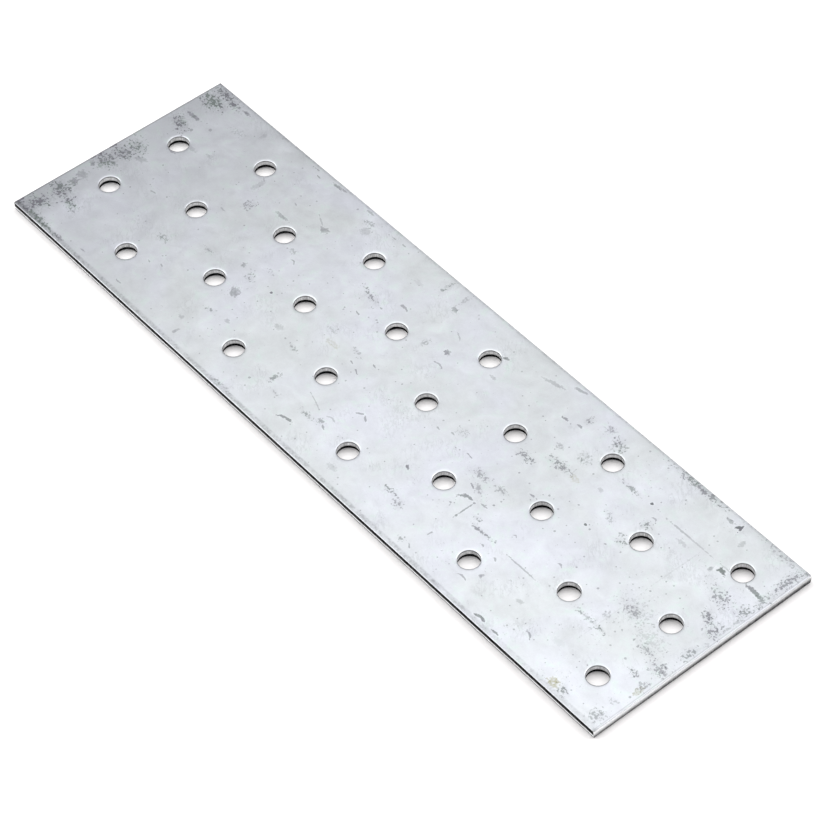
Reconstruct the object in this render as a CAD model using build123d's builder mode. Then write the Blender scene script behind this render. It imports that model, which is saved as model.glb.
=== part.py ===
from build123d import *
import os

# Mending plate: one flat piece of galvanised sheet steel, punched with staggered rows of nail holes.
# Millimetres. The underside lies on Z = 0 with the middle of the plate over the origin, and +X runs
# along the length, towards the end whose last row has the full number of holes.

# Sheet
plate_length = 200.0
plate_width = 60.0
plate_thickness = 2.0
corner_break = 0.3

# Slit long sides: the blade rolls the top edge over, a straight land follows, and the foot is torn
# off at a slight undercut
side_roll_width = 0.6
side_roll_depth = 0.2
side_tear_height = 1.0
side_tear_width = 0.12

# Cropped short ends, cut by a blunter blade that rolls the top edge further over
end_roll_width = 0.9
end_roll_depth = 0.5
end_tear_height = 0.8
end_tear_width = 0.12

# Punched nail holes: a rim drawn down by the punch, a straight land, and a break-out that widens
# to the underside
hole_diameter = 5.0
rim_width = 0.35
rim_depth = 0.15
break_out_width = 0.12
break_out_height = 0.7

# Staggered pattern: full rows take turns with rows that have one hole less
row_pitch = 20.0
hole_gauge = 20.0
end_distance = 10.0
side_distance = 10.0

# One hole is punched off the pattern: the middle one of the sixth row, counted from the -X end
stray_row = 6
stray_shift_x = 0.45
stray_shift_y = 1.5

row_count = int((plate_length - 2 * end_distance) / row_pitch) + 1
full_row_holes = int((plate_width - 2 * side_distance) / hole_gauge) + 1
hole_radius = hole_diameter / 2


def sheet_section(span, roll_width, roll_depth, tear_height, tear_width):
    """Section of the sheet between two cut edges, each with a rolled top, a straight land and a torn foot."""
    edge = span / 2
    with BuildSketch() as section:
        with BuildLine():
            foot = Line((0, 0), (edge - tear_width, 0))
            tear = Line(foot @ 1, (edge, tear_height))
            land = Line(tear @ 1, (edge, plate_thickness - roll_depth))
            top = Line((0, plate_thickness), (edge - roll_width, plate_thickness))
            TangentArc(top @ 1, land @ 1, tangent=(1, 0))
            Line((0, 0), (0, plate_thickness))
        make_face()
        mirror(about=Plane.YZ)
    return section.sketch


def centred(index, count, spacing):
    """Place of one member of an evenly spaced row that is centred on zero."""
    return (index - (count - 1) / 2) * spacing


def hole_centres():
    """Centres of all the holes, row by row from the -X end."""
    centres = []
    for row in range(row_count):
        holes = full_row_holes if row % 2 else full_row_holes - 1
        for hole in range(holes):
            x = centred(row, row_count, row_pitch)
            y = centred(hole, holes, hole_gauge)
            if row + 1 == stray_row and hole == holes // 2:
                x += stray_shift_x
                y += stray_shift_y
            centres.append((x, y))
    return centres


with BuildPart() as punch:
    with BuildSketch(Plane.XZ):
        with BuildLine():
            Polyline(
                (0, 0),
                (hole_radius + break_out_width, 0),
                (hole_radius, break_out_height),
                (hole_radius, plate_thickness - rim_depth),
                (hole_radius + rim_width, plate_thickness),
                (0, plate_thickness),
                close=True,
            )
        make_face()
    revolve(axis=Axis.Z)

with BuildPart() as plate:
    # The strip: its section across the width, drawn out over the length
    with BuildSketch(Plane.YZ):
        add(sheet_section(plate_width, side_roll_width, side_roll_depth, side_tear_height, side_tear_width))
    extrude(amount=plate_length / 2, both=True)
    # Cropping: the section along the length crosses the strip, so that the rolled edges meet in mitres
    with BuildSketch(Plane.XZ):
        add(sheet_section(plate_length, end_roll_width, end_roll_depth, end_tear_height, end_tear_width))
    extrude(amount=plate_width / 2, both=True, mode=Mode.INTERSECT)
    # The sharp corners are broken by a small square set on its point
    with BuildSketch():
        with GridLocations(plate_length, plate_width, 2, 2):
            RegularPolygon(radius=corner_break, side_count=4)
    extrude(amount=plate_thickness, mode=Mode.SUBTRACT)
    with Locations(*hole_centres()):
        add(punch.part, mode=Mode.SUBTRACT)

plate.part.label = "plate"
os.makedirs("parts", exist_ok=True)
export_step(plate.part, "parts/plate.step")
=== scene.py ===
import math

import bpy
import numpy as np
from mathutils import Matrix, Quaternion, Vector, noise


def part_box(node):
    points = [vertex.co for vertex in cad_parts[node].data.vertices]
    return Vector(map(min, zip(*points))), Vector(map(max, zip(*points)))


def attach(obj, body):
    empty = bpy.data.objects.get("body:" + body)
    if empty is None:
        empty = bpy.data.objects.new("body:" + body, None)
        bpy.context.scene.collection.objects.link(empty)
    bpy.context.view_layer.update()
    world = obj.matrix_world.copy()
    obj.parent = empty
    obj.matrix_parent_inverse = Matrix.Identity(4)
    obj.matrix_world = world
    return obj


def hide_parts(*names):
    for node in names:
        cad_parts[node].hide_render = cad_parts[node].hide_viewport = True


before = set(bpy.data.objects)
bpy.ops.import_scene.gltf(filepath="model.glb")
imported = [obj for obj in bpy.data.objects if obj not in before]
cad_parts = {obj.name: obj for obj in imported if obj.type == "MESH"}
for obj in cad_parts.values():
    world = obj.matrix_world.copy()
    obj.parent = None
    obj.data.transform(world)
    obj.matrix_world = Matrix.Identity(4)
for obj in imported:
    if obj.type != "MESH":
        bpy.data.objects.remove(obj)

bl_info = {
    "name": "Mending plate",
    "version": (1, 0, 0),
    "blender": (4, 5, 0),
    "location": "3D View > Sidebar > Mending plate",
    "description": "A punched mending plate of galvanised sheet steel, in a plain white studio",
    "category": "Object",
}

MM = 0.001
SHEET_LOW, SHEET_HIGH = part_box("plate")
SHEET_SIZE = SHEET_HIGH - SHEET_LOW

# The real plate is bowed by a hair, so that its middle stands just clear of the floor. This one is
# straight, and the floor lies a hair lower instead.
FLOOR = -0.25 * MM
FLOOR_REACH = 6.0

# The camera's place, the point it looks at and its roll: millimetres and degrees
CAMERA_PLACE = (391.18, -291.66, 538.35)
CAMERA_TARGET = (10.662, -2.229, 1.0)
CAMERA_ROLL = -3.277

# Depths below the top face, in millimetres, at which the outline of the sheet is drawn
OUTLINE_DROPS = (0.0, 0.012, 0.03, 0.055, 0.08, 0.13, 0.22, 0.35, 0.5, 0.8, 1.0, 1.2, 1.5, 1.8, 2.0)

# The rim that the punch draws down: distance out from the land and fall, as shares of its width and depth
RIM_PROFILE = ((1.8, -0.08), (0.9, 0.0), (0.6, 0.027), (0.35, 0.08), (0.18, 0.187), (0.07, 0.467), (0.0, 1.0))

# The marks are laid in this many layers, so that those of one layer never overlap
MARK_LAYERS = 9

# Marks on the top face, listed one by one. Millimetres from the middle of the sheet, +X towards the
# end whose last row has three holes.

# Specks: x, y, radius, darkness
SPECKS = (
    (-98.5, 25.0, 0.6, 0.8), (-95.5, 24.5, 0.6, 0.8), (-95.0, 13.8, 0.5, 0.8), (-91.7, 15.0, 0.5, 0.5),
    (-88.7, 18.3, 0.5, 0.5), (-95.5, -0.3, 0.6, 0.8), (-98.0, -9.0, 0.6, 0.6), (-86.7, 3.0, 0.25, 0.6),
    (-77.7, -2.7, 0.25, 0.7), (-86.0, -7.0, 0.25, 0.6), (-64.2, 26.5, 0.25, 0.6), (-58.5, 5.0, 0.25, 0.7),
    (-53.5, 22.2, 0.3, 0.6), (-57.3, 20.5, 0.3, 0.5), (-64.5, -3.6, 0.25, 0.6), (-55.8, -13.2, 0.25, 0.7),
    (-63.2, -14.7, 0.25, 0.6), (-60.0, -22.0, 0.25, 0.6), (-81.0, -27.5, 0.25, 0.6),
    (-45.2, 27.5, 0.3, 0.6), (-41.0, 26.2, 0.25, 0.6), (-37.2, 2.5, 0.25, 0.6), (-36.0, -1.8, 0.25, 0.6),
    (-37.7, -3.5, 0.4, 1.3), (-37.7, -7.4, 0.25, 0.7), (-48.8, -3.0, 0.25, 0.6), (-23.3, 6.0, 0.25, 0.7),
    (-23.0, 5.4, 0.25, 0.6), (-19.0, 0.7, 0.25, 0.6), (-15.5, 8.8, 0.3, 0.7), (-14.8, 8.5, 0.25, 0.6),
    (-17.3, 8.0, 0.25, 0.6), (-12.7, 6.6, 0.25, 0.6), (-6.5, 9.8, 0.25, 0.6), (-24.7, -9.7, 0.25, 0.6),
    (-21.7, -10.2, 0.25, 0.6), (-6.0, -7.7, 0.25, 0.6), (-17.5, -17.3, 0.3, 0.6),
    (-12.5, -22.3, 0.25, 0.6), (-20.7, -22.8, 0.35, 0.7), (-23.0, -24.6, 0.25, 0.6),
    (-19.6, -25.0, 0.25, 0.6), (-1.6, -6.0, 0.25, 0.6), (-1.7, -15.4, 0.25, 0.6),
    (-3.2, -17.3, 0.25, 0.6), (-25.5, -28.8, 0.3, 0.6), (-12.8, 25.5, 0.45, 0.8), (12.0, 25.2, 0.25, 0.6),
    (17.5, 22.7, 0.25, 0.6), (26.0, 17.3, 0.25, 0.6), (30.3, 17.6, 0.25, 0.6), (40.7, 15.9, 0.25, 0.6),
    (49.7, 14.8, 0.3, 0.6), (39.0, 3.3, 0.25, 0.7), (42.7, 3.0, 0.25, 0.6), (48.0, 3.9, 0.3, 0.7),
    (3.0, 0.8, 0.25, 0.6), (17.0, 0.8, 0.25, 0.6), (25.7, -2.0, 0.25, 0.6), (42.6, -4.8, 0.25, 0.7),
    (42.3, -6.6, 0.3, 0.8), (12.3, -16.5, 0.25, 0.6), (27.3, -20.4, 0.3, 0.6), (27.7, -22.5, 0.25, 0.6),
    (29.8, -21.7, 0.25, 0.6), (14.5, -26.4, 0.25, 0.6), (41.3, -27.1, 0.25, 0.6),
    (-0.2, -26.4, 0.25, 0.6), (49.9, -12.6, 0.25, 0.6), (39.1, -9.3, 0.35, 0.8), (39.1, -14.3, 0.35, 0.7),
    (53.0, 28.0, 0.3, 0.6), (59.0, 27.7, 0.3, 0.6), (68.0, 24.5, 0.25, 0.7), (79.0, 22.2, 0.25, 0.6),
    (80.5, 21.8, 0.25, 0.6), (80.1, 19.8, 0.25, 0.6), (65.0, 20.2, 0.25, 0.6), (64.0, 18.5, 0.42, 1.4),
    (66.0, 18.4, 0.25, 0.6), (71.0, 14.0, 0.25, 0.6), (69.3, 4.8, 0.25, 0.6), (54.0, 6.8, 0.25, 0.7),
    (59.0, 4.3, 0.4, 1.3), (60.5, 4.1, 0.3, 0.7), (65.7, 3.9, 0.25, 0.6), (52.0, 2.8, 0.25, 0.6),
    (79.7, 6.8, 0.25, 0.7), (81.3, 6.6, 0.25, 0.6), (83.2, 7.0, 0.25, 0.6), (86.4, 5.7, 0.25, 0.6),
    (81.0, 2.5, 0.25, 0.7), (65.2, -1.6, 0.25, 0.6), (56.0, -1.7, 0.3, 0.7), (66.3, -4.7, 0.25, 0.6),
    (73.4, -5.1, 0.3, 0.7), (75.3, -0.8, 0.25, 0.6), (65.2, -9.9, 0.25, 0.6), (66.3, -12.1, 0.25, 0.6),
    (61.2, -14.8, 0.25, 0.6), (80.8, -6.2, 0.3, 0.6), (79.0, -8.0, 0.25, 0.6), (84.6, -8.6, 0.25, 0.6),
    (85.8, -6.0, 0.25, 0.6), (84.0, -10.0, 0.25, 0.6), (86.0, -13.0, 0.25, 0.6), (90.5, -13.0, 0.3, 0.6),
    (70.0, -25.0, 0.25, 0.6), (68.3, -25.4, 0.25, 0.6), (55.0, -21.0, 0.25, 0.6), (98.3, -18.8, 0.3, 0.7),
)

# Strokes: start x, start y, end x, end y, width, darkness, bend
STROKES = (
    (80.2, 27.8, 81.7, 27.4, 1.7, 1.45, 0.3), (-99.65, -2.8, -99.65, -0.6, 0.5, 1.2, 0.0),
    (-99.6, -5.9, -99.6, -5.1, 0.7, 1.2, 0.0), (-99.65, -8.4, -99.65, -6.9, 0.4, 1.0, 0.0),
    (-99.6, -29.4, -99.6, -27.0, 0.7, 0.9, 0.0), (-82.0, -4.2, -80.0, -3.8, 0.44, 0.68, 0.0),
    (-78.0, -27.2, -76.0, -27.2, 0.44, 0.68, 0.0), (-68.0, 18.0, -66.5, 17.0, 0.5, 0.54, 0.0),
    (-67.0, 4.6, -65.0, 4.4, 0.44, 0.54, 0.0), (-64.6, -17.8, -63.4, -18.2, 0.38, 0.68, 0.0),
    (-64.3, -27.0, -62.7, -27.0, 0.44, 0.68, 0.0), (-62.2, 28.8, -60.8, 28.8, 0.44, 0.81, 0.0),
    (-61.7, -16.5, -60.3, -16.9, 0.38, 0.68, 0.0), (-60.2, 27.6, -58.8, 27.4, 0.44, 0.81, 0.0),
    (-56.7, 18.2, -55.3, 17.8, 0.38, 0.68, 0.0), (-55.5, 28.7, -52.5, 28.5, 0.5, 0.81, 0.0),
    (-52.6, 29.0, -51.0, 29.0, 0.62, 0.81, 0.0), (-50.0, 20.0, -46.0, 18.0, 0.38, 0.54, 0.0),
    (-44.0, 29.0, -41.0, 29.0, 0.62, 0.68, 0.0), (-43.0, 6.5, -41.0, 5.8, 0.5, 0.81, 0.8),
    (-33.2, 27.8, -31.8, 27.8, 0.44, 0.68, 0.0), (-29.9, 28.0, -28.5, 28.0, 0.44, 0.68, 0.0),
    (-20.8, 7.2, -19.2, 6.8, 0.44, 0.81, 0.0), (-18.0, 11.8, -17.0, 11.8, 0.44, 0.68, 0.0),
    (-16.0, 15.9, -13.0, 15.7, 0.7, 0.8, 0.3), (-10.2, -3.0, -8.8, -3.4, 0.44, 0.81, 0.0),
    (-7.5, -3.8, -5.5, -4.8, 0.44, 0.81, 0.0), (-8.2, -24.9, -4.2, -23.7, 0.8, 1.0, 0.3),
    (-8.5, -15.5, -3.0, -17.3, 0.38, 0.47, 0.0), (-5.9, -0.1, -4.5, -0.5, 0.44, 0.81, 0.0),
    (-1.3, 20.0, 1.8, 18.5, 0.4, 0.5, 0.5), (-1.0, -17.2, 2.0, -16.8, 0.5, 0.47, 0.8),
    (0.5, -19.5, 2.0, -20.2, 0.5, 0.81, 0.0), (2.6, -12.0, 4.5, -10.8, 0.56, 0.81, 0.0),
    (2.2, 10.5, 5.3, 10.5, 0.5, 0.68, 0.7), (4.5, -10.8, 6.6, -12.2, 0.56, 0.81, 0.0),
    (11.3, 22.3, 13.0, 22.9, 0.8, 1.0, 0.0), (17.3, -1.4, 18.7, -1.6, 0.44, 0.68, 0.0),
    (20.6, 0.0, 22.0, -0.2, 0.44, 0.68, 0.0), (21.3, -13.0, 22.8, -13.8, 0.75, 1.0, 0.0),
    (23.0, -20.1, 24.6, -20.4, 0.45, 0.9, 0.3), (22.0, 25.0, 27.5, 26.2, 1.12, 0.47, 0.0),
    (27.5, -1.4, 29.3, -1.6, 0.44, 0.81, 0.0), (28.5, 28.2, 32.0, 28.9, 0.88, 0.68, 0.0),
    (33.0, 20.5, 35.1, 20.9, 0.8, 0.9, 0.0), (34.5, -6.3, 35.9, -6.7, 0.5, 0.81, 0.0),
    (35.0, -12.7, 36.2, -13.4, 0.5, 0.68, 0.6), (35.0, -10.0, 38.2, -8.8, 1.0, 1.0, 0.3),
    (37.0, 21.5, 38.6, 21.7, 0.7, 0.8, 0.0), (38.3, -26.5, 39.7, -27.5, 0.44, 0.68, 0.0),
    (39.1, -8.5, 39.1, -15.0, 0.44, 0.81, 0.0), (39.2, -20.8, 39.2, -22.2, 0.44, 0.68, 0.0),
    (40.0, -8.3, 42.5, -8.3, 0.5, 0.68, 0.0), (44.6, 16.0, 46.0, 14.5, 0.44, 0.81, 0.0),
    (44.7, 1.1, 47.0, 1.2, 0.6, 0.8, 0.0), (43.2, -13.5, 46.0, -13.2, 0.4, 0.9, 0.3),
    (48.3, -15.2, 49.7, -15.8, 0.5, 0.68, 0.6), (51.0, -8.7, 52.2, -8.7, 0.5, 0.68, 0.6),
    (51.0, -24.0, 54.0, -24.0, 0.5, 0.68, 0.6), (52.8, -15.8, 54.2, -16.2, 0.5, 0.68, 0.5),
    (54.0, -13.3, 63.5, -13.3, 0.44, 0.61, 0.0), (61.5, 29.0, 63.1, 29.0, 0.5, 0.81, 0.0),
    (61.4, -28.2, 65.0, -28.2, 0.8, 1.0, 0.4), (62.7, -6.8, 64.3, -6.8, 0.5, 0.68, 0.6),
    (66.7, 16.2, 68.3, 15.8, 0.5, 0.68, 0.6), (66.8, -28.4, 69.2, -28.4, 0.6, 1.0, 0.0),
    (71.8, -23.2, 74.2, -24.0, 0.62, 0.81, 0.6), (68.0, 18.1, 84.0, 18.1, 0.45, 0.42, 0.0),
    (70.0, 18.1, 76.0, 18.1, 0.6, 0.3, 0.0), (74.7, -12.0, 76.3, -12.0, 0.5, 0.68, 0.6),
    (80.3, 19.0, 80.1, 2.0, 0.35, 0.16, 0.0), (80.3, 2.0, 80.3, -18.0, 0.3, 0.14, 0.0),
    (85.4, 16.9, 88.2, 17.0, 1.3, 1.25, 0.3), (85.0, 18.1, 89.0, 18.1, 0.45, 0.42, 0.0),
    (92.4, 18.3, 98.2, 18.1, 1.2, 1.05, 0.0),
)

# Smudges, soft and grey: x, y, half length, half width, turn in degrees, darkness
SMUDGES = (
    (-87.4, 28.2, 1.3, 0.5, 0, 0.9), (-95.0, 18.3, 2.4, 0.6, 0, 0.8), (-91.6, 0.4, 1.6, 0.9, 20, 0.4),
    (-95.0, -5.3, 1.0, 0.6, 0, 0.8), (-98.6, -8.7, 0.8, 0.6, 0, 0.45), (-96.3, -8.0, 0.8, 0.7, 0, 0.5),
    (-96.8, -12.8, 1.6, 1.4, 0, 0.5), (-96.2, -15.7, 1.2, 1.3, 0, 0.7), (-89.0, 7.3, 1.4, 0.4, 0, 0.6),
    (-78.6, 26.3, 0.6, 1.2, 0, 0.35), (-86.4, 11.3, 1.4, 0.6, 0, 0.4), (-81.6, 12.8, 1.2, 0.6, 0, 0.35),
    (-66.6, 15.5, 0.8, 2.5, 0, 0.4), (-53.8, 28.8, 1.8, 0.5, 0, 0.9), (-55.0, 13.2, 2.2, 0.5, 0, 0.8),
    (-38.6, 24.4, 1.3, 1.3, 0, 0.45), (-45.0, 17.7, 1.3, 0.9, 0, 0.9), (-18.0, 23.0, 1.5, 0.8, 0, 0.2),
    (-43.3, -9.5, 1.6, 1.3, -30, 0.9), (-37.4, -16.1, 0.8, 0.6, 0, 0.5), (-45.2, -23.0, 0.8, 0.6, 0, 0.5),
    (-42.7, -26.5, 0.4, 1.0, 0, 0.7), (-6.4, 23.8, 0.9, 0.7, 0, 0.9), (-28.5, -8.7, 1.4, 0.8, 0, 0.4),
    (2.4, 14.2, 1.0, 0.7, -20, 1.0), (14.7, 16.8, 1.0, 0.5, 0, 0.5), (11.5, -25.5, 1.4, 0.9, 0, 0.35),
    (78.3, 27.6, 1.2, 0.5, 0, 0.9), (84.4, 25.0, 0.6, 1.0, 0, 0.5), (84.8, 15.8, 0.5, 0.8, 0, 0.7),
    (75.8, 16.0, 1.4, 0.6, 0, 0.4), (65.4, -19.4, 1.2, 0.6, 0, 0.4), (78.5, -20.3, 1.6, 0.9, 0, 0.15),
    (83.0, -19.8, 1.4, 0.8, 0, 0.15), (54.0, 13.0, 0.8, 0.6, 0, 0.4), (55.0, -21.0, 0.6, 0.7, 0, 0.7),
)

# Stains, yellowish: x, y, half length, half width, turn in degrees, strength
STAINS = (
    (85.4, -27.8, 1.3, 1.0, 0, 1.0), (48.0, 11.0, 1.2, 0.8, 0, 0.35), (-16.5, -3.0, 2.1, 0.7, 0, 0.3),
    (98.3, -16.5, 0.7, 1.4, 0, 0.5),
)

# Crusts, patches of loose grit: x, y, half length, half width, turn in degrees, darkness
CRUSTS = (
    (-96.0, 28.4, 3.6, 1.2, 0, 1.0), (-91.5, 27.7, 2.6, 1.0, 0, 0.9), (-95.8, 24.7, 3.4, 2.3, 0, 1.0),
    (-95.4, 14.6, 2.8, 1.6, -15, 1.0), (-83.4, 22.6, 2.0, 0.9, 0, 0.4), (-95.6, 1.9, 2.8, 2.0, -20, 0.9),
    (-97.0, -6.0, 2.4, 2.4, 0, 0.9), (-96.0, -19.4, 3.0, 2.2, 0, 1.0), (-91.0, -20.6, 2.8, 1.1, -15, 0.9),
    (-96.4, -25.8, 3.2, 1.9, 50, 1.0), (-88.5, -29.0, 8.0, 0.6, 0, 0.8), (-67.7, -11.3, 1.5, 0.8, 0, 0.8),
    (-63.0, 10.0, 1.2, 1.4, 0, 1.0), (-57.2, -5.8, 1.6, 0.7, 0, 0.7), (-39.9, 26.6, 1.4, 0.7, 0, 0.7),
    (-44.3, 8.3, 1.6, 0.7, 0, 0.6), (-42.7, 0.4, 1.8, 0.5, 0, 0.6), (-48.5, -2.8, 0.6, 0.9, 0, 0.8),
    (-44.8, -4.0, 1.7, 1.0, -35, 0.9), (-42.5, -17.0, 1.8, 0.6, 10, 0.9),
    (-22.9, 12.7, 2.8, 0.6, -12, 1.0), (-12.6, 27.0, 0.6, 1.8, 0, 0.9), (-7.0, 27.0, 0.5, 2.0, 0, 0.5),
    (-3.3, 12.5, 0.7, 1.3, 0, 0.7), (-20.0, -0.4, 1.8, 0.5, 0, 0.5), (-10.8, -0.6, 1.6, 0.5, -15, 0.6),
    (-21.2, -10.3, 1.4, 0.6, -15, 0.8), (-17.1, -18.7, 0.9, 1.4, 0, 1.0),
    (-14.0, -21.4, 2.0, 0.5, 0, 0.6), (-3.8, -20.2, 2.0, 0.7, 0, 0.9), (-23.0, -28.8, 3.0, 0.6, 0, 0.8),
    (38.1, 24.0, 1.0, 1.0, 0, 1.0), (43.0, 25.9, 1.4, 0.9, 0, 0.8), (47.3, 24.4, 2.3, 1.4, -30, 1.0),
    (39.0, 14.5, 1.0, 0.9, 0, 0.6), (45.5, 16.3, 1.8, 1.2, -40, 0.5), (43.4, 11.2, 3.2, 1.2, 0, 1.0),
    (36.9, 7.3, 2.2, 1.1, 0, 1.0), (34.0, -3.0, 2.4, 1.1, 0, 0.8), (36.5, -6.0, 2.2, 0.9, -20, 0.7),
    (40.3, -2.8, 2.2, 0.8, 0, 0.7), (28.7, -21.5, 1.2, 1.2, 0, 0.8), (-0.5, -19.3, 1.0, 1.0, 0, 0.8),
    (22.3, 1.7, 1.4, 1.0, 0, 0.5), (36.4, -27.0, 0.8, 0.7, 0, 0.8), (42.8, -11.6, 1.2, 0.5, 0, 0.9),
    (67.5, 29.0, 7.5, 0.8, 0, 1.0), (58.0, 18.0, 2.4, 0.6, 0, 0.9), (67.4, 13.8, 1.2, 1.2, 0, 1.0),
    (67.2, 6.6, 1.3, 1.0, 0, 1.0), (66.2, 8.3, 0.8, 0.5, 0, 0.9), (60.7, 9.5, 2.0, 0.7, -25, 0.6),
    (82.5, -3.6, 1.8, 1.4, 0, 0.8), (80.3, -8.5, 2.2, 0.9, 0, 0.5), (81.6, -11.8, 1.8, 0.6, 0, 0.9),
    (91.5, 12.0, 3.2, 1.7, -15, 0.9), (93.9, 6.6, 2.4, 1.0, -25, 1.0), (98.0, 25.5, 1.3, 4.0, 0, 1.0),
    (98.2, 18.5, 1.0, 2.6, 0, 0.9), (97.6, 12.8, 1.4, 1.6, 0, 0.9), (97.2, 5.0, 1.6, 2.0, 0, 1.0),
    (98.2, -2.6, 1.0, 2.4, 0, 0.9), (97.0, -9.8, 2.4, 1.8, 0, 0.85), (91.6, -8.4, 2.8, 1.0, 0, 0.8),
    (94.3, -14.0, 1.4, 0.6, 0, 0.9), (98.2, -15.2, 0.9, 1.9, 0, 0.7), (97.3, -27.0, 1.6, 1.8, 0, 0.8),
    (93.0, 29.0, 5.0, 0.7, 0, 0.6), (97.0, -22.0, 1.2, 0.8, 0, 0.5), (24.6, -20.3, 2.0, 0.5, 0, 1.0),
    (46.4, -13.2, 3.2, 0.5, 0, 1.0), (83.0, -3.0, 4.0, 3.0, 0, 0.35), (88.0, -27.5, 1.7, 1.1, -30, 1.0),
    (-96.4, -1.6, 2.6, 1.5, 0, 1.2), (-94.5, -28.7, 6.0, 1.0, 0, 0.8), (90.0, -6.0, 4.0, 2.4, -10, 0.35),
    (77.0, -11.8, 3.0, 0.5, 0, 0.6), (98.7, 8.8, 0.5, 9.0, 0, 0.5),
)


# Node writing


class Value:
    """A socket that carries a number, so that node maths reads as plain arithmetic."""

    def __init__(self, nodes, socket):
        self.nodes = nodes
        self.socket = socket

    def out(self, name):
        """Another output of the same node."""
        return Value(self.nodes, self.socket.node.outputs[name])

    def __add__(self, other):
        return self.nodes.math("ADD", self, other)

    def __sub__(self, other):
        return self.nodes.math("SUBTRACT", self, other)

    def __mul__(self, other):
        return self.nodes.math("MULTIPLY", self, other)

    def __radd__(self, other):
        return self.nodes.math("ADD", other, self)

    def __rsub__(self, other):
        return self.nodes.math("SUBTRACT", other, self)

    def __rmul__(self, other):
        return self.nodes.math("MULTIPLY", other, self)

    def __neg__(self):
        return self.nodes.math("MULTIPLY", self, -1.0)

    def __abs__(self):
        return self.nodes.math("ABSOLUTE", self, 0.0)

    def root(self):
        """The square root."""
        return self.nodes.math("SQRT", self, 0.0)

    def least(self, other):
        """The smaller of the two."""
        return self.nodes.math("MINIMUM", self, other)

    def most(self, other):
        """The larger of the two."""
        return self.nodes.math("MAXIMUM", self, other)

    def ramp(self, low, high):
        """0 at low, 1 at high, smooth between, also where low is the larger."""
        return self.nodes.node(
            "ShaderNodeMapRange",
            {"interpolation_type": "SMOOTHSTEP"},
            {"Value": self, "From Min": low, "From Max": high},
        )


class Nodes:
    """Writes nodes into one tree."""

    def __init__(self, tree):
        self.tree = tree
        self.tree.nodes.clear()

    def node(self, kind, settings=None, inputs=None, output=0):
        """One node: its settings first, then the values or links of its sockets."""
        made = self.tree.nodes.new(kind)
        made.location = (180 * (len(self.tree.nodes) % 12), -220 * (len(self.tree.nodes) // 12))
        for name, setting in (settings or {}).items():
            setattr(made, name, setting)
        for name, given in (inputs or {}).items():
            for value in given if isinstance(given, list) else [given]:
                if isinstance(value, Value):
                    self.tree.links.new(value.socket, made.inputs[name])
                else:
                    made.inputs[name].default_value = value
        return Value(self, made.outputs[output]) if len(made.outputs) else made

    def math(self, operation, first, second):
        """One Math node."""
        return self.node("ShaderNodeMath", {"operation": operation}, {0: first, 1: second})

    def mix(self, factor, first, second, blend="MIX"):
        """Two colours mixed by a factor."""
        return self.node(
            "ShaderNodeMix",
            {"data_type": "RGBA", "blend_type": blend},
            {0: factor, 6: first, 7: second},
            output=2,
        )

    def noise(self, place, scale, detail=2.0, roughness=0.5, distortion=0.0):
        """Cloudy noise round 0.5, with its scale in features to the millimetre."""
        return self.node(
            "ShaderNodeTexNoise",
            None,
            {
                "Vector": place,
                "Scale": scale,
                "Detail": detail,
                "Roughness": roughness,
                "Distortion": distortion,
            },
        )


# Sizes and colours


def length(name, description, default):
    """A length that a user can change."""
    return bpy.props.FloatProperty(
        name=name, description=description, default=default, min=0.0, unit="LENGTH", precision=5
    )


def pair(name, description, default):
    """Two lengths that belong together."""
    return bpy.props.FloatVectorProperty(
        name=name, description=description, default=default, size=2, min=0.0, unit="LENGTH", precision=5
    )


def colour(name, description, default):
    """A colour that a user can change."""
    return bpy.props.FloatVectorProperty(
        name=name, description=description, default=default, size=3, min=0.0, max=1.0, subtype="COLOR"
    )


class SheetSizes(bpy.types.PropertyGroup):
    """The sheet and its cut edges."""

    sheet_length: length("Length", "Length of the sheet", SHEET_SIZE.x)
    sheet_width: length("Width", "Width of the sheet", SHEET_SIZE.y)
    thickness: length("Thickness", "Thickness of the sheet", SHEET_SIZE.z)
    corner_break: length("Corner break", "How far the sharp corners are broken", 0.12 * MM)
    near_side_roll: pair("Near side roll", "Width and depth of the -Y side's roll", (0.14 * MM, 0.14 * MM))
    far_side_roll: pair("Far side roll", "Width and depth of the +Y side's roll", (0.1 * MM, 0.04 * MM))
    front_end_roll: pair("Front end roll", "Width and depth of the +X end's roll", (0.5 * MM, 0.35 * MM))
    back_end_roll: pair("Back end roll", "Width and depth of the -X end's roll", (0.1 * MM, 0.04 * MM))
    side_tear: pair("Side tear", "Depth and height of the long sides' undercut foot", (0.06 * MM, 1.0 * MM))
    end_tear: pair("End tear", "Depth and height of the short ends' undercut foot", (0.06 * MM, 0.8 * MM))
    cell: length("Cell", "Size of the mesh cells on the faces", 1.0 * MM)


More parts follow.
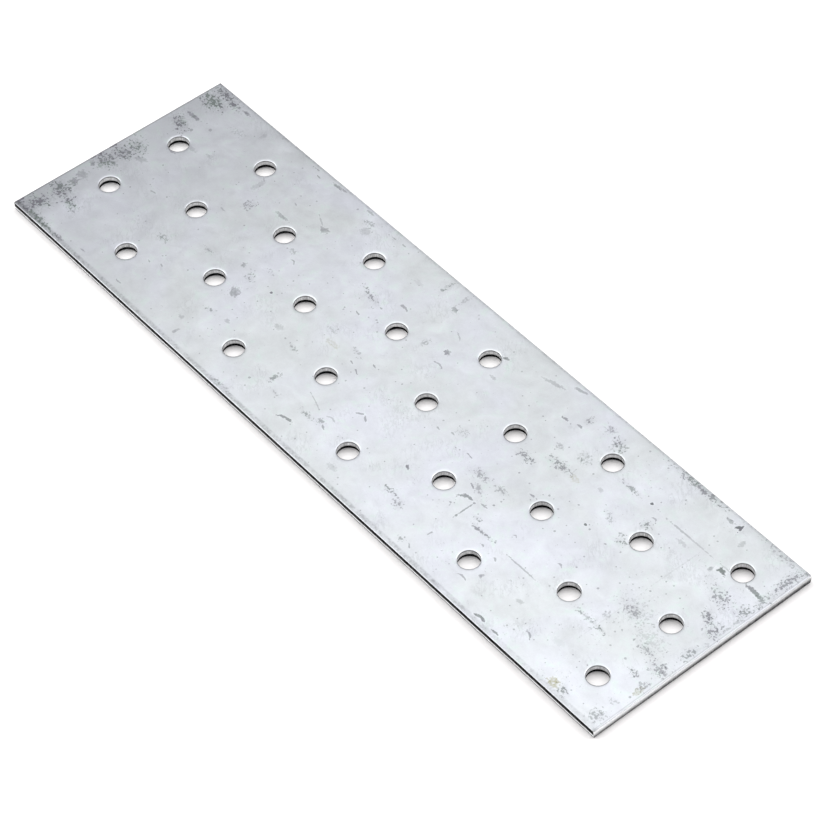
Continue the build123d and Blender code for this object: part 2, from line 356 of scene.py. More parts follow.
class HolePattern(bpy.types.PropertyGroup):
    """The punched holes."""

    hole_diameter: length("Hole diameter", "Diameter of a hole at its land", 5.0 * MM)
    rim_width: length("Rim width", "Width of the rim that the punch draws down", 1.0 * MM)
    rim_depth: length("Rim depth", "Depth of the rim that the punch draws down", 0.15 * MM)
    break_out_width: length("Break-out width", "How far a hole widens to the underside", 0.06 * MM)
    break_out_height: length("Break-out height", "Height of the part that widens", 0.7 * MM)
    row_spacing: length("Row spacing", "Distance between rows of the same kind", 40.0 * MM)
    hole_gauge: length("Gauge", "Distance between the holes of a row", 20.0 * MM)
    row_shift: length("Row shift", "How far each kind of row lies off the middle", 10.0 * MM)
    rows: bpy.props.IntProperty(name="Rows", description="Rows of each kind", default=5, min=1)
    full_row: bpy.props.IntProperty(name="Full row", description="Holes in a full row", default=3, min=1)
    short_row: bpy.props.IntProperty(name="Short row", description="Holes in a short row", default=2, min=1)
    stray_hole: bpy.props.IntProperty(
        name="Stray hole", description="Number of the full rows' hole that is off the pattern", default=7
    )
    stray_shift: bpy.props.FloatVectorProperty(
        name="Stray shift",
        description="How far the stray hole lies off the pattern",
        default=(0.45 * MM, 1.5 * MM, 0.0),
        size=3,
        subtype="TRANSLATION",
        precision=5,
    )
    seed: bpy.props.IntProperty(name="Seed", description="Seed of the punch's turns", default=4)


class ZincFinish(bpy.types.PropertyGroup):
    """The zinc coat and the cut steel."""

    zinc: colour("Zinc", "Colour of the clean zinc", (0.615, 0.64, 0.66))
    cool_zinc: colour("Cool zinc", "Colour of the zinc's bluish clouds", (0.604, 0.620, 0.676))
    green_zinc: colour("Green zinc", "Colour of the zinc's greenish clouds", (0.574, 0.641, 0.633))
    tarnish: colour("Tarnish", "Colour of the dull marks", (0.12, 0.118, 0.14))
    green_tarnish: colour("Green tarnish", "Colour of the dull marks in other places", (0.11, 0.135, 0.125))
    stain: colour("Stain", "Colour of the yellowish stain", (0.33, 0.32, 0.2))
    land: colour("Land", "Colour of the smooth part of a cut edge", (0.94, 0.95, 0.96))
    # Near black: painted shade and a painted dark reflection on the cut walls, as well as bare torn steel
    torn: colour("Torn steel", "Colour of the torn part of a cut edge", (0.008, 0.008, 0.009))
    gloss_roughness: bpy.props.FloatProperty(
        name="Roughness",
        description="Roughness of the clean zinc",
        default=0.36,
        min=0.0,
        max=1.0,
        subtype="FACTOR",
    )


class StudioLook(bpy.types.PropertyGroup):
    """Floor, light and camera."""

    floor_colour: colour("Floor", "Colour of the floor", (0.92, 0.905, 0.905))
    floor_glow: bpy.props.FloatProperty(
        name="Floor glow", description="Light from the floor itself", default=0.02, min=0.0, subtype="FACTOR"
    )
    room_light: bpy.props.FloatProperty(
        name="Room light", description="Light from all round", default=0.35, min=0.0, subtype="FACTOR"
    )
    softbox_power: bpy.props.FloatProperty(
        name="Softbox", description="Power of the softbox over the plate", default=48.8, unit="POWER"
    )
    side_power: bpy.props.FloatProperty(
        name="Side lights", description="Power of each of the two side lights", default=19.0, unit="POWER"
    )
    focal_length: bpy.props.FloatProperty(
        name="Focal length", description="Focal length of the camera's lens", default=144.8, unit="CAMERA"
    )


# The sheet


def roll_inset(drop, roll):
    """Distance in from the edge of a rolled top at one drop below the top face."""
    width, depth = roll
    if drop >= depth:
        return 0.0
    radius = (width * width + depth * depth) / (2 * depth)
    return width - math.sqrt(radius * radius - (radius - drop) ** 2)


def tear_inset(height, tear):
    """Distance in from the edge of an undercut foot at one height above the underside."""
    width, top = tear
    return width * max(0.0, 1 - height / top)


def outline(low, high, corner, columns, rows, height):
    """Points round the sheet at one height, anticlockwise from the -X -Y corner, with two at each corner."""
    along_x = [low[0] + (high[0] - low[0]) * i / columns for i in range(columns + 1)]
    along_y = [low[1] + (high[1] - low[1]) * j / rows for j in range(rows + 1)]
    along_x = [max(low[0] + corner, min(high[0] - corner, x)) for x in along_x]
    along_y = [max(low[1] + corner, min(high[1] - corner, y)) for y in along_y]
    points = [(x, low[1], height) for x in along_x]
    points += [(high[0], y, height) for y in along_y]
    points += [(x, high[1], height) for x in reversed(along_x)]
    points += [(low[0], y, height) for y in reversed(along_y)]
    return points


def sheet_block(sizes):
    """The sheet before it is punched: rolled top edges, lands and torn feet round two gridded faces."""
    thickness = sizes.thickness
    half_length = sizes.sheet_length / 2
    half_width = sizes.sheet_width / 2
    columns = round(sizes.sheet_length / sizes.cell)
    rows = round(sizes.sheet_width / sizes.cell)
    rings = []
    for drop in OUTLINE_DROPS:
        drop *= MM
        height = thickness - drop
        side_foot = tear_inset(height, sizes.side_tear)
        end_foot = tear_inset(height, sizes.end_tear)
        low = (
            roll_inset(drop, sizes.back_end_roll) + end_foot - half_length,
            roll_inset(drop, sizes.near_side_roll) + side_foot - half_width,
        )
        high = (
            half_length - roll_inset(drop, sizes.front_end_roll) - end_foot,
            half_width - roll_inset(drop, sizes.far_side_roll) - side_foot,
        )
        rings.append(outline(low, high, sizes.corner_break if drop else 0.0, columns, rows, height))
    inset = 0.5 * MM
    low = (inset - half_length, inset - half_width)
    rings.append(outline(low, (-low[0], -low[1]), 0.0, columns, rows, 0.0))
    below_roll = 0.4 * MM
    roughen([ring for ring in rings[:-1] if thickness - ring[0][2] > below_roll], thickness)

    points = []
    faces = []

    def face_grid(ring, facing_up):
        """A gridded face inside one ring. Returns the ring's own points as numbers."""
        first = len(points)
        for i in range(columns + 1):
            for j in range(rows + 1):
                points.append((ring[i][0], ring[columns + 1 + j][1], ring[0][2]))
        for i in range(columns):
            for j in range(rows):
                near = first + i * (rows + 1) + j
                quad = (near, near + rows + 1, near + rows + 2, near + 1)
                faces.append(quad if facing_up else quad[::-1])
        number = [[first + i * (rows + 1) + j for j in range(rows + 1)] for i in range(columns + 1)]
        border = [number[i][0] for i in range(columns + 1)]
        border += [number[columns][j] for j in range(rows + 1)]
        border += [number[columns - i][rows] for i in range(columns + 1)]
        border += [number[0][rows - j] for j in range(rows + 1)]
        return border

    numbered = [face_grid(rings[0], True)]
    for ring in rings[1:-1]:
        numbered.append(list(range(len(points), len(points) + len(ring))))
        points.extend(ring)
    numbered.append(face_grid(rings[-1], False))
    count = len(rings[0])
    for upper, lower in zip(numbered, numbered[1:]):
        for i in range(count):
            after = (i + 1) % count
            corners = [upper[i], lower[i], lower[after], upper[after]]
            corners = [c for k, c in enumerate(corners) if c != corners[k - 1]]
            if len(corners) > 2:
                faces.append(corners)
    return mesh_object("plate_sheet", points, faces)


def roughen(rings, thickness):
    """Wavers the lower part of the cut edges inwards, as a blade leaves it."""
    for ring in rings:
        for i, (x, y, z) in enumerate(ring):
            place = Vector((x, y, z * 0.4)) / MM
            waver = abs(noise.noise(place * 0.9)) * 0.05 + abs(noise.noise(place * 0.23)) * 0.04
            depth = min(1.0, (thickness - z) / thickness * 1.4) * waver * MM
            ring[i] = (x - math.copysign(depth, x), y - math.copysign(depth, y), z)


def punch_tool(sizes, holes):
    """The shape that one stroke of the punch takes out: drawn rim, land and ragged break-out."""
    radius = holes.hole_diameter / 2
    thickness = sizes.thickness
    sides = 72
    spare = 0.3 * MM
    profile = []
    for reach, fall in RIM_PROFILE:
        profile.append((radius + reach * holes.rim_width, thickness - fall * holes.rim_depth, 0.0))
    profile.insert(0, (profile[0][0], thickness + spare, 0.0))
    for share in (0.7, 0.35, 0.0):
        height = holes.break_out_height + (thickness - holes.rim_depth - holes.break_out_height) * share
        profile.append((radius, height, 1.0 - share))
    for share in (0.25, 0.6, 1.0):
        height = holes.break_out_height * (1 - share)
        profile.append((radius + holes.break_out_width * share ** 0.6, height, 1.0 - 0.6 * share))
    profile.append((profile[-1][0], -spare, 0.0))
    points = []
    for step in range(sides):
        angle = 2 * math.pi * step / sides
        c, s = math.cos(angle), math.sin(angle)
        shift = noise.noise(Vector((c * 2.3, s * 2.3, 0.5))) + 0.5 * noise.noise(Vector((c * 7, s * 7, 3.0)))
        for r, z, ragged in profile:
            chip = abs(noise.noise(Vector((c * 9, s * 9, z / MM * 2)))) * 0.05 * MM * ragged
            points.append((c * (r + chip), s * (r + chip), z + shift * 0.3 * MM * ragged))
    per_side = len(profile)
    faces = []
    for step in range(sides):
        here = step * per_side
        after = (step + 1) % sides * per_side
        for k in range(per_side - 1):
            faces.append((here + k, here + k + 1, after + k + 1, after + k))
    faces.append([step * per_side for step in range(sides)])
    faces.append([step * per_side + per_side - 1 for step in reversed(range(sides))])
    return mesh_object("punch_tool", points, faces)


def mesh_object(name, points, faces):
    """A mesh object in the scene."""
    mesh = bpy.data.meshes.new(name)
    mesh.from_pydata(points, [], faces)
    mesh.validate()
    made = bpy.data.objects.new(name, mesh)
    bpy.context.scene.collection.objects.link(made)
    return made


def punching_tree(holes, tool, material):
    """Geometry nodes that punch the staggered rows of holes into the sheet."""
    tree = bpy.data.node_groups.new("punch_holes", "GeometryNodeTree")
    given = {}

    def named_input(name, kind, value):
        """One input of the tree, and the value that the modifier gives it."""
        socket = tree.interface.new_socket(name, in_out="INPUT", socket_type=kind)
        given[socket.identifier] = value

    tree.interface.new_socket("Geometry", in_out="INPUT", socket_type="NodeSocketGeometry")
    named_input("Row spacing", "NodeSocketFloat", holes.row_spacing)
    named_input("Gauge", "NodeSocketFloat", holes.hole_gauge)
    named_input("Row shift", "NodeSocketFloat", holes.row_shift)
    named_input("Rows", "NodeSocketInt", holes.rows)
    named_input("Full row", "NodeSocketInt", holes.full_row)
    named_input("Short row", "NodeSocketInt", holes.short_row)
    named_input("Stray hole", "NodeSocketInt", holes.stray_hole)
    named_input("Stray shift", "NodeSocketVector", list(holes.stray_shift))
    named_input("Seed", "NodeSocketInt", holes.seed)
    named_input("Punch", "NodeSocketObject", tool)
    named_input("Finish", "NodeSocketMaterial", material)
    tree.interface.new_socket("Geometry", in_out="OUTPUT", socket_type="NodeSocketGeometry")

    nodes = Nodes(tree)
    start = nodes.node("NodeGroupInput")

    def row_points(holes_in_row, shift):
        """The hole centres of one kind of row."""
        grid = nodes.node(
            "GeometryNodeMeshGrid",
            None,
            {
                "Size X": (start.out("Rows") - 1) * start.out("Row spacing"),
                "Size Y": (holes_in_row - 1) * start.out("Gauge"),
                "Vertices X": start.out("Rows"),
                "Vertices Y": holes_in_row,
            },
        )
        place = nodes.node("ShaderNodeCombineXYZ", None, {"X": shift})
        return nodes.node("GeometryNodeTransform", None, {"Geometry": grid, "Translation": place})

    index = nodes.node("GeometryNodeInputIndex")
    stray = nodes.node(
        "FunctionNodeCompare",
        {"data_type": "INT", "operation": "EQUAL"},
        {2: index, 3: start.out("Stray hole")},
    )
    full_rows = nodes.node(
        "GeometryNodeSetPosition",
        None,
        {
            "Geometry": row_points(start.out("Full row"), start.out("Row shift")),
            "Selection": stray,
            "Offset": start.out("Stray shift"),
        },
    )
    short_rows = row_points(start.out("Short row"), -start.out("Row shift"))
    centres = nodes.node("GeometryNodeJoinGeometry", None, {"Geometry": [full_rows, short_rows]})
    turn = nodes.node(
        "FunctionNodeRandomValue",
        {"data_type": "FLOAT"},
        {2: 0.0, 3: 2 * math.pi, "Seed": start.out("Seed")},
        output=1,
    )
    punch = nodes.node("GeometryNodeObjectInfo", None, {"Object": start.out("Punch")}).out("Geometry")
    strokes = nodes.node(
        "GeometryNodeInstanceOnPoints",
        None,
        {
            "Points": centres,
            "Instance": punch,
            "Rotation": nodes.node("ShaderNodeCombineXYZ", None, {"Z": turn}),
        },
    )
    punched = nodes.node(
        "GeometryNodeMeshBoolean",
        {"operation": "DIFFERENCE", "solver": "MANIFOLD"},
        {"Mesh 1": start.out("Geometry"), "Mesh 2": strokes},
    )
    real = nodes.node("GeometryNodeRealizeInstances", None, {"Geometry": punched})
    finished = nodes.node(
        "GeometryNodeSetMaterial", None, {"Geometry": real, "Material": start.out("Finish")}
    )
    nodes.node("NodeGroupOutput", None, {"Geometry": finished})
    return tree, given


def punch_sheet(sheet, tool, holes, material):
    """Punches the sheet and leaves it a plain mesh."""
    tree, given = punching_tree(holes, tool, material)
    modifier = sheet.modifiers.new("punch_holes", "NODES")
    modifier.node_group = tree
    for identifier, value in given.items():
        modifier[identifier] = value
    punched = sheet.evaluated_get(bpy.context.evaluated_depsgraph_get())
    mesh = bpy.data.meshes.new_from_object(punched)
    sheet.modifiers.clear()
    blank = sheet.data
    sheet.data = mesh
    mesh.name = blank.name
    bpy.data.meshes.remove(blank)
    bpy.data.meshes.remove(tool.data)
    bpy.data.node_groups.remove(tree)


def mesh_numbers(mesh):
    """The mesh's face centres, face normals, corner places and face of each corner, in millimetres."""
    centres = np.empty(len(mesh.polygons) * 3, np.float32)
    normals = np.empty(len(mesh.polygons) * 3, np.float32)
    points = np.empty(len(mesh.vertices) * 3, np.float32)
    corner_point = np.empty(len(mesh.loops), np.int32)
    corner_count = np.empty(len(mesh.polygons), np.int32)
    mesh.polygons.foreach_get("center", centres)
    mesh.polygons.foreach_get("normal", normals)
    mesh.vertices.foreach_get("co", points)
    mesh.loops.foreach_get("vertex_index", corner_point)
    mesh.polygons.foreach_get("loop_total", corner_count)
    corners = points.reshape(-1, 3)[corner_point] / MM
    corner_face = np.repeat(np.arange(len(mesh.polygons)), corner_count)
    return centres.reshape(-1, 3) / MM, normals.reshape(-1, 3), corners, corner_face


def mark_rows():
    """Every mark as x, y, half length, half width, turn, darkness, raggedness, bend and fineness."""
    rows = []
    for x, y, radius, dark in SPECKS:
        rows.append((x, y, radius, radius, 0.0, dark, 0.5, 0.0, 0.0))
    for x0, y0, x1, y1, width, dark, bend in STROKES:
        half = math.hypot(x1 - x0, y1 - y0) / 2
        turn = math.atan2(y1 - y0, x1 - x0)
        rows.append(((x0 + x1) / 2, (y0 + y1) / 2, half, width / 2, turn, dark, 0.9, bend, 0.0))
    for x, y, half_length, half_width, turn, dark in SMUDGES:
        rows.append((x, y, half_length, half_width, math.radians(turn), dark, 0.9, 0.0, 0.3))
    for x, y, half_length, half_width, turn, dark in STAINS:
        rows.append((x, y, half_length, half_width, math.radians(turn), dark, 0.9, 0.0, -1.0))
    for x, y, half_length, half_width, turn, dark in CRUSTS:
        rows.append((x, y, half_length, half_width, math.radians(turn), dark, 0.9, 0.0, 1.0))
    return rows


def place_marks(mesh, sizes):
    """Lays the marks on the top face. Each face has its own corner values, so marks stay crisp."""
    centres, normals, corners, corner_face = mesh_numbers(mesh)
    top = (normals[:, 2] > 0.4) & (centres[:, 2] > sizes.thickness / MM - 0.6)
    reach = 0.75 * sizes.cell / MM
    taken = np.zeros((MARK_LAYERS, len(centres)), bool)
    place = np.zeros((MARK_LAYERS, len(corners), 3), np.float32)
    form = np.zeros((MARK_LAYERS, len(corners), 3), np.float32)
    for x, y, half_length, half_width, turn, dark, ragged, bend, fine in mark_rows():
        c, s = math.cos(turn), math.sin(turn)
        spread = 1 + 0.75 * ragged
        along = (centres[:, 0] - x) * c + (centres[:, 1] - y) * s
        aside = (centres[:, 1] - y) * c - (centres[:, 0] - x) * s
        touched = top & (np.abs(along) < half_length * spread + reach)
        touched &= np.abs(aside) < half_width * (spread + 1.5 * abs(bend)) + reach
        free = [layer for layer in range(MARK_LAYERS) if not (taken[layer] & touched).any()]
        if not free:
            raise RuntimeError(f"no layer is free for the mark at {x}, {y}")
        layer = free[0]
        taken[layer] |= touched
        chosen = touched[corner_face]
        dx = corners[chosen, 0] - x
        dy = corners[chosen, 1] - y
        place[layer, chosen, 0] = (dx * c + dy * s) / half_length
        place[layer, chosen, 1] = (dy * c - dx * s) / half_width
        place[layer, chosen, 2] = dark
        form[layer, chosen] = (ragged, bend, fine)
    for layer in range(MARK_LAYERS):
        for name, values in (("mark_place", place), ("mark_form", form)):
            attribute = mesh.attributes.new(f"{name}_{layer}", "FLOAT_VECTOR", "CORNER")
            attribute.data.foreach_set("vector", values[layer].ravel())


def mark_walls(mesh, sizes):
    """Says which faces are cut long side, cut short end or hole wall, and shades all but the flats smooth."""
    centres, normals, _, _ = mesh_numbers(mesh)
    near_edge = 0.35
    steep = np.abs(normals[:, 2]) < 0.8
    by_side = np.abs(centres[:, 1]) > sizes.sheet_width / 2 / MM - near_edge
    by_end = np.abs(centres[:, 0]) > sizes.sheet_length / 2 / MM - near_edge
    side = steep & by_side & (np.abs(normals[:, 1]) > 0.7)
    end = steep & by_end & ~side
    bore = steep & ~side & ~end
    for name, chosen in (("side_wall", side), ("end_wall", end), ("hole_wall", bore)):
        attribute = mesh.attributes.new(name, "FLOAT", "FACE")
        attribute.data.foreach_set("value", chosen.astype(np.float32))
    smooth = np.abs(normals[:, 2]) < 0.99999
    mesh.polygons.foreach_set("use_smooth", smooth)
    mesh.update()


# The finish


def mark_darkness(nodes, layer, cloud, grit, haze):
    """Darkness, pale surround and stain of one layer of placed marks. The pale surround is a painted
    highlight, as a raised rim would catch.
    """
    spot = nodes.node("ShaderNodeAttribute", {"attribute_name": f"mark_place_{layer}"}, output="Vector")
    kind = nodes.node("ShaderNodeAttribute", {"attribute_name": f"mark_form_{layer}"}, output="Vector")
    spot = nodes.node("ShaderNodeSeparateXYZ", None, {"Vector": spot})
    kind = nodes.node("ShaderNodeSeparateXYZ", None, {"Vector": kind})
    u, v, dark = spot.out("X"), spot.out("Y"), spot.out("Z")
    ragged, bend, fine = kind.out("X"), kind.out("Y"), kind.out("Z")
    v = v + bend * (u * u * 3 - 1)
    distance = (u * u + v * v).root() + ragged * (cloud - 0.5) * 2.6
    crust = fine.most(0.0)
    solid = distance.ramp(1.1, 0.7)
    soft = distance.ramp(1.6, 0.2)
    over = grit - 0.42 - distance * 0.15
    gritty = over.ramp(0.0, 0.035) * distance.ramp(1.7, 1.5)
    stained = (-fine).most(0.0)
    darkness = dark * (1 - stained) * (solid * (1 - crust) + (soft * haze + gritty * (1 - haze)) * crust)
    # Pale fringes round the grit and a pale ring round the other marks: painted highlight
    pale = over.ramp(-0.08, -0.03) * over.ramp(0.02, -0.02) * soft * crust
    pale = pale + (distance.ramp(1.6, 1.1) - solid) * (1 - crust) * 0.7
    ring = distance.ramp(1.3, 0.8) * distance.ramp(0.1, 0.5)
    return darkness, dark * pale, dark * ring * (0.55 + gritty * 0.45) * stained


def all_marks(nodes, cloud, grit, haze):
    """Darkness, pale surround (a painted highlight) and stain of all the layers together."""
    clean, painted_rim_highlight, stain = 1.0, 0.0, 0.0
    for layer in range(MARK_LAYERS):
        darkness, rim_highlight, yellow = mark_darkness(nodes, layer, cloud, grit, haze)
        clean = clean * (1 - darkness)
        painted_rim_highlight = painted_rim_highlight + rim_highlight
        stain = stain + yellow
    return 1 - clean, painted_rim_highlight, stain


def painted_light_by_place(x, y, old_end, patch_cloud, grit):
    """Share of its brightness that the zinc keeps, which falls towards the -X end and along the edges. Most
    of it is painted light and shade: a broad painted shade towards the -X end, painted shade on the rolled
    ends and in bands along the long edges, and painted light and shade across the middle. The last
    millimetres of the -X end are darker with dirt, and grit breaks up the edge bands.
    """
    # Painted shade falling towards the -X end, then darker dirt in its last millimetres, most towards -Y
    end_dirt_and_shade = x.ramp(-35.0, -95.0) * 0.13 + x.ramp(-90.0, -97.0) * (0.06 + y.ramp(-12.0, -28.0) * 0.12)
    # Painted shade on the rolled edges of both ends
    end_dirt_and_shade = end_dirt_and_shade + x.ramp(99.2, 99.6) * 0.26 + x.ramp(-99.4, -99.7) * 0.25
    # Painted light and shade across the middle: lighter from x -50 to 25, the far half lighter towards -X and
    # darker towards +X, and darker along the middle line towards +X
    middle = x.ramp(-50.0, -32.0) * x.ramp(25.0, 0.0) * -0.025 + (y + 5.0).most(0.0) * x * 1.8e-5
    middle = middle + y.ramp(9.0, 0.0) * y.ramp(-9.0, 0.0) * x.ramp(5.0, 40.0) * 0.05
    granules = grit.ramp(0.42, 0.6)
    # Painted shade along the far edge and on its roll, with grit in the line at the edge
    far_edge_shade_and_grit = y.ramp(27.5, 30.0) * 0.07 + y.ramp(29.2, 29.7) * (0.1 + granules * 0.14)
    # Painted shade in a band along the near edge and on its roll, broken by clouds and grit
    near_edge_shade_and_grit = abs(y + 29.25).ramp(0.75, 0.2) * patch_cloud.ramp(0.25, 0.5) * (0.14 + granules * 0.2)
    near_edge_shade_and_grit = near_edge_shade_and_grit * (1 + old_end * 0.5 - x.ramp(50.0, 80.0) * 0.4) + y.ramp(-29.6, -29.8) * 0.08
    return 1 - end_dirt_and_shade - middle - far_edge_shade_and_grit - near_edge_shade_and_grit


def cut_edges(nodes, here, y, z):
    """Share of the near-black bands, share of any cut edge, and the upright streaks in it. The bands are
    painted shade, a painted dark reflection and a painted contact shadow as much as torn steel.
    """
    upright = nodes.node("ShaderNodeVectorMath", {"operation": "MULTIPLY"}, {0: here, 1: (1.0, 1.0, 0.18)})
    streaks = nodes.noise(upright, 2.4, 3.0, 0.65)
    waver = (nodes.noise(here, 0.5, 3.0, 0.6) - 0.5) * 0.9
    side_wall = nodes.node("ShaderNodeAttribute", {"attribute_name": "side_wall"}, output="Fac")
    end_wall = nodes.node("ShaderNodeAttribute", {"attribute_name": "end_wall"}, output="Fac")
    hole_wall = nodes.node("ShaderNodeAttribute", {"attribute_name": "hole_wall"}, output="Fac")
    # Long sides: a black band high on the wall, a painted dark reflection
    side_dark_band_and_shadow = (z + waver * 0.25).ramp(0.62, 0.87) * z.ramp(1.99, 1.89) * (0.88 + streaks * 0.2)
    # Painted contact shadow along the foot of the long sides
    side_dark_band_and_shadow = side_dark_band_and_shadow + z.ramp(0.25, 0.12) * 0.95
    # Short ends: darker towards the bottom
    end_darker_below = (z - y * 0.01 + waver * 0.5).ramp(2.2, 0.2) * (0.65 + streaks * 0.5)
    # Holes: the torn lower wall, painted near black as shade
    hole_torn_and_shade = (z + waver * 0.3).ramp(0.9, 0.65).most(0.07 + (streaks - 0.33) * 1.4)
    # A painted dark ring just under the rim of each hole
    hole_torn_and_shade = hole_torn_and_shade.most(z.ramp(1.5, 1.72) * z.ramp(1.99, 1.9) * (0.4 + streaks * 0.5))
    torn = side_wall * side_dark_band_and_shadow + end_wall * end_darker_below + hole_wall * hole_torn_and_shade
    return torn, side_wall + end_wall + hole_wall, streaks


def zinc_material(finish):
    """Zinc-coated sheet steel: cloudy bright zinc, dull marks, and cut edges of bare steel, with painted
    light and shade on the zinc, a painted highlight round the marks, and painted shade on the cut edges.
    """
    material = bpy.data.materials.new("galvanised_sheet_steel")
    material.use_nodes = True
    nodes = Nodes(material.node_tree)
    here = nodes.node("ShaderNodeTexCoord", None, None, output="Object")
    here = nodes.node("ShaderNodeVectorMath", {"operation": "SCALE"}, {0: here, "Scale": 1 / MM})
    axes = nodes.node("ShaderNodeSeparateXYZ", None, {"Vector": here})
    x, y, z = axes.out("X"), axes.out("Y"), axes.out("Z")

    patch_cloud = nodes.noise(here, 0.35, 3.0, 0.6, 0.6)
    mid_cloud = nodes.noise(here, 0.15, 3.0, 0.55, 0.8)
    grain = nodes.noise(here, 3.2, 2.0, 0.6)

    # Marks: small clouds break up their outlines, and loose grit fills the crusts
    ragged_cloud = nodes.noise(here, 1.5, 2.0, 0.6)
    grit = nodes.noise(here, 1.7, 2.0, 0.6, 0.5)
    old_end = x.ramp(-80.0, -92.0)
    marks, painted_rim_highlight, stain = all_marks(nodes, ragged_cloud, grit, 0.2 + old_end * 0.12)

    # All over: loose fields of grit and pale flecks, pin specks, faint scuffs and clouds
    zones = nodes.noise(here, 0.11, 2.0, 0.5).ramp(0.42, 0.7) * (0.5 + x.ramp(-20.0, 80.0) * 0.5)
    loose = (grit + zones * 0.09).ramp(0.72, 0.77)
    flecks = (nodes.noise(here, 1.9, 2.0, 0.6, 0.8) + zones * 0.08).ramp(0.68, 0.76)
    pins = nodes.node("ShaderNodeTexVoronoi", None, {"Vector": here, "Scale": 0.42}, output="Distance")
    pins = pins.ramp(0.085, 0.05)
    scuff_zones = nodes.noise(here, 0.13, 2.0).ramp(0.52, 0.68)
    slanted = nodes.node(
        "ShaderNodeCombineXYZ", None, {"X": (x * 0.8 - y * 0.6) * 0.35, "Y": x * 0.6 + y * 0.8}
    )
    scuffs = abs(nodes.noise(slanted, 0.9, 3.0, 0.6) - 0.5).ramp(0.05, 0.01) * scuff_zones
    broad_cloud = nodes.noise(here, 0.055, 3.0, 0.55, 0.3)

    # Clouds of slightly different greys, with painted shade towards the -X end and along the edges, and
    # painted light and shade across the middle
    cool = broad_cloud.ramp(0.35, 0.7).most(x.ramp(-50.0, -90.0) * 0.7)
    zinc = nodes.mix(cool, (*finish.zinc, 1), (*finish.cool_zinc, 1))
    zinc = nodes.mix(patch_cloud.ramp(0.5, 0.8), zinc, (*finish.green_zinc, 1))
    shade = 0.96 + (broad_cloud - 0.5) * 0.26 + (mid_cloud - 0.5) * 0.26 + (patch_cloud - 0.5) * 0.17
    shade = shade + (grain - 0.5) * 0.1
    shade = shade * painted_light_by_place(x, y, old_end, patch_cloud, grit)
    # The marks' painted highlight ring and the pale flecks lift the zinc
    shade = shade * (1 + painted_rim_highlight.least(1.0) * 0.1 + flecks * 0.07)
    shade = nodes.node("ShaderNodeCombineColor", None, {0: shade, 1: shade, 2: shade})
    zinc = nodes.mix(1.0, zinc, shade, "MULTIPLY")
    dull = (marks * (0.64 + old_end * 0.34) + loose * 0.3 + pins * 0.5 + scuffs * 0.13).least(0.9)
    tarnish = nodes.mix(mid_cloud.ramp(0.4, 0.6), (*finish.tarnish, 1), (*finish.green_tarnish, 1))
    face = nodes.mix(dull, nodes.mix(stain.least(0.8), zinc, (*finish.stain, 1)), tarnish)

    torn, cut, streaks = cut_edges(nodes, here, y, z)
    surface = nodes.mix(cut, face, (*finish.land, 1))

    roughness = finish.gloss_roughness + dull * 0.25 + (patch_cloud - 0.5) * 0.08 + cut * 0.12
    metallic = 1.0 - dull * 0.35
    dents = nodes.noise(here, 0.16, 2.0, 0.5)
    height = dents * 0.045 + patch_cloud * 0.012 + grain * 0.0035 + cut * streaks * 0.05
    bump = nodes.node("ShaderNodeBump", None, {"Strength": 1.0, "Distance": MM, "Height": height})
    shader = nodes.node(
        "ShaderNodeBsdfPrincipled",
        None,
        {"Base Color": surface, "Metallic": metallic, "Roughness": roughness, "Normal": bump},
    )
    # The cut walls' near-black bands: painted shade and a painted dark reflection as well as torn steel
    rough_steel = nodes.node(
        "ShaderNodeBsdfPrincipled",
        None,
        {"Base Color": (*finish.torn, 1), "Roughness": 1.0, "Specular IOR Level": 0.0, "Normal": bump},
    )
    torn = torn.most(0.0).least(1.0)
    shader = nodes.node("ShaderNodeMixShader", None, {0: torn, 1: shader, 2: rough_steel})
    nodes.node("ShaderNodeOutputMaterial", None, {"Surface": shader})
    return material


class MENDINGPLATE_OT_sheet(bpy.types.Operator):
    """Makes the punched sheet with its zinc finish"""

    bl_idname = "mending_plate.sheet"
    bl_label = "Punched sheet"

    def execute(self, context):
        """Builds the sheet, punches it, lays the marks and hangs it under the root body."""
        sizes = context.scene.mending_plate_sheet
        holes = context.scene.mending_plate_holes
        material = zinc_material(context.scene.mending_plate_finish)
        sheet = sheet_block(sizes)
        punch_sheet(sheet, punch_tool(sizes, holes), holes, material)
        mark_walls(sheet.data, sizes)
        place_marks(sheet.data, sizes)
        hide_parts("plate")
        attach(sheet, "root")
        return {"FINISHED"}


# The studio


def area_lamp(name, size_x, size_y, power, place, turn):
    """A soft rectangular lamp that the camera doesn't see."""
    lamp = bpy.data.lights.new(name, "AREA")
    lamp.shape = "RECTANGLE"
    lamp.size = size_x
    lamp.size_y = size_y
    lamp.energy = power
    made = bpy.data.objects.new(name, lamp)
    made.location = place
    made.rotation_euler = turn
    made.visible_camera = False
    bpy.context.scene.collection.objects.link(made)


def studio_light(look):
    """A level softbox over the plate, whose back edge shades the zinc, and two side lights."""
    height, width, back, front = 1.6, 5.0, 1.58, 0.6
    turn = math.radians(50.0)
    middle = (back - front) / 2
    place = (-math.sin(turn) * middle, math.cos(turn) * middle, height)
    area_lamp("softbox", width, back + front, look.softbox_power, place, (0.0, 0.0, turn))
    for name, azimuth in (("left_light", 215.0), ("right_light", 60.0)):
        azimuth, elevation, away = math.radians(azimuth), math.radians(35.0), 2.2
        level = Vector((math.cos(azimuth), math.sin(azimuth), 0.0)) * math.cos(elevation)
        place = (level + Vector((0.0, 0.0, math.sin(elevation)))) * away
        area_lamp(name, 2.0, 2.0, look.side_power, place, place.to_track_quat("Z", "Y").to_euler())


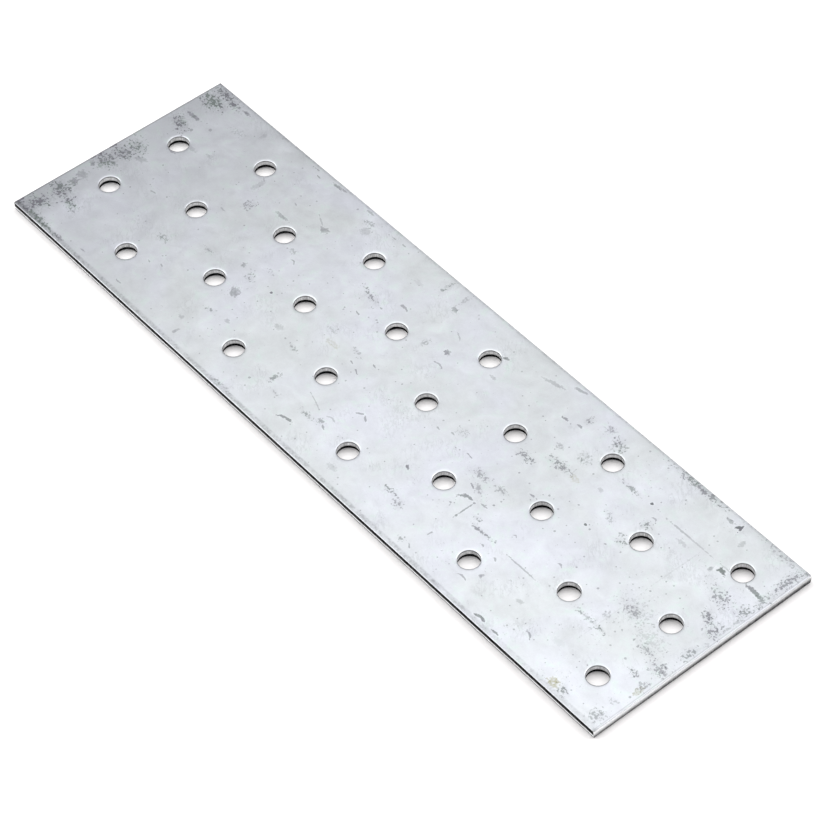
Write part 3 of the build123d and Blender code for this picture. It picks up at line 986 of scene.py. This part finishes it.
class MENDINGPLATE_OT_studio(bpy.types.Operator):
    """Makes the pale floor, the soft light and the camera"""

    bl_idname = "mending_plate.studio"
    bl_label = "Studio"

    def execute(self, context):
        """Builds the stage round the plate."""
        look = context.scene.mending_plate_studio
        scene = context.scene

        corners = [(x * FLOOR_REACH, y * FLOOR_REACH, FLOOR) for x, y in ((-1, -1), (1, -1), (1, 1), (-1, 1))]
        floor = mesh_object("floor", corners, [(0, 1, 2, 3)])
        white = bpy.data.materials.new("white_floor")
        white.use_nodes = True
        nodes = Nodes(white.node_tree)
        shader = nodes.node(
            "ShaderNodeBsdfPrincipled",
            None,
            {
                "Base Color": (*look.floor_colour, 1),
                "Roughness": 1.0,
                "Specular IOR Level": 0.0,
                "Emission Color": (1, 1, 1, 1),
                "Emission Strength": look.floor_glow,
            },
        )
        nodes.node("ShaderNodeOutputMaterial", None, {"Surface": shader})
        floor.data.materials.append(white)

        world = bpy.data.worlds.new("studio")
        world.use_nodes = True
        nodes = Nodes(world.node_tree)
        room = nodes.node(
            "ShaderNodeBackground", None, {"Color": (1.0, 1.0, 1.0, 1), "Strength": look.room_light}
        )
        nodes.node("ShaderNodeOutputWorld", None, {"Surface": room})
        scene.world = world

        studio_light(look)

        lens = bpy.data.cameras.new("camera")
        lens.lens = look.focal_length
        lens.sensor_width = 36.0
        lens.clip_start = 0.01
        lens.clip_end = 50.0
        camera = bpy.data.objects.new("camera", lens)
        place = Vector(CAMERA_PLACE) * MM
        target = Vector(CAMERA_TARGET) * MM
        roll = Quaternion((0, 0, 1), math.radians(CAMERA_ROLL))
        camera.location = place
        camera.rotation_euler = ((target - place).to_track_quat("-Z", "Y") @ roll).to_euler()
        scene.collection.objects.link(camera)
        scene.camera = camera
        scene.view_settings.view_transform = "Standard"
        return {"FINISHED"}


class MENDINGPLATE_PT_panel(bpy.types.Panel):
    """Sizes, colours and buttons of the mending plate"""

    bl_label = "Mending plate"
    bl_idname = "MENDINGPLATE_PT_panel"
    bl_space_type = "VIEW_3D"
    bl_region_type = "UI"
    bl_category = "Mending plate"

    def draw(self, context):
        """Lists the operators and every size and colour."""
        column = self.layout.column()
        column.operator(MENDINGPLATE_OT_sheet.bl_idname)
        column.operator(MENDINGPLATE_OT_studio.bl_idname)
        for group in GROUPS:
            box = column.box()
            settings = getattr(context.scene, group)
            for name in settings.__annotations__:
                box.prop(settings, name)


GROUPS = {
    "mending_plate_sheet": SheetSizes,
    "mending_plate_holes": HolePattern,
    "mending_plate_finish": ZincFinish,
    "mending_plate_studio": StudioLook,
}
CLASSES = (*GROUPS.values(), MENDINGPLATE_OT_sheet, MENDINGPLATE_OT_studio, MENDINGPLATE_PT_panel)


def register():
    """Adds the classes and the scene's settings."""
    for made in CLASSES:
        bpy.utils.register_class(made)
    for name, group in GROUPS.items():
        setattr(bpy.types.Scene, name, bpy.props.PointerProperty(type=group))


def unregister():
    """Takes them out again."""
    for name in GROUPS:
        delattr(bpy.types.Scene, name)
    for made in reversed(CLASSES):
        bpy.utils.unregister_class(made)


def main():
    """Makes the plate and its studio."""
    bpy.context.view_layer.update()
    register()
    bpy.ops.mending_plate.sheet()
    bpy.ops.mending_plate.studio()


if __name__ == "__main__":
    main()
